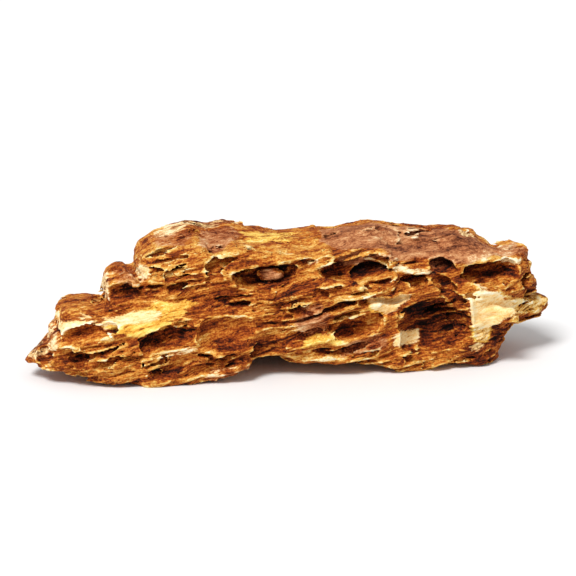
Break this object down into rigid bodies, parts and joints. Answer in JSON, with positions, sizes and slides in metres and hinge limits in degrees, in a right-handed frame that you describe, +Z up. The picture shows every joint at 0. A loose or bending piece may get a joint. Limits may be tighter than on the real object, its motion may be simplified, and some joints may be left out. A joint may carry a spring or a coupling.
{
  "type": "aquarium dragon stone",
  "caption": "Low lying piece of layered dragon stone with ledges, scooped hollows and dark pits, for an aquarium or terrarium scape.",
  "frame": {"origin": "centre of the stone's bounding box at its underside, on the surface that it lies on", "axes": "+X along the stone towards its pointed nose, +Y from its front to its back, +Z up"},
  "size_m": [0.2479, 0.0827, 0.0616],
  "materials": {
    "clay_rock": "dry weathered clay rock, brown with cream ridges and dark pits"
  },
  "bodies": {
    "root": {"dragon_stone": "clay_rock"}
  },
  "joints": []
}
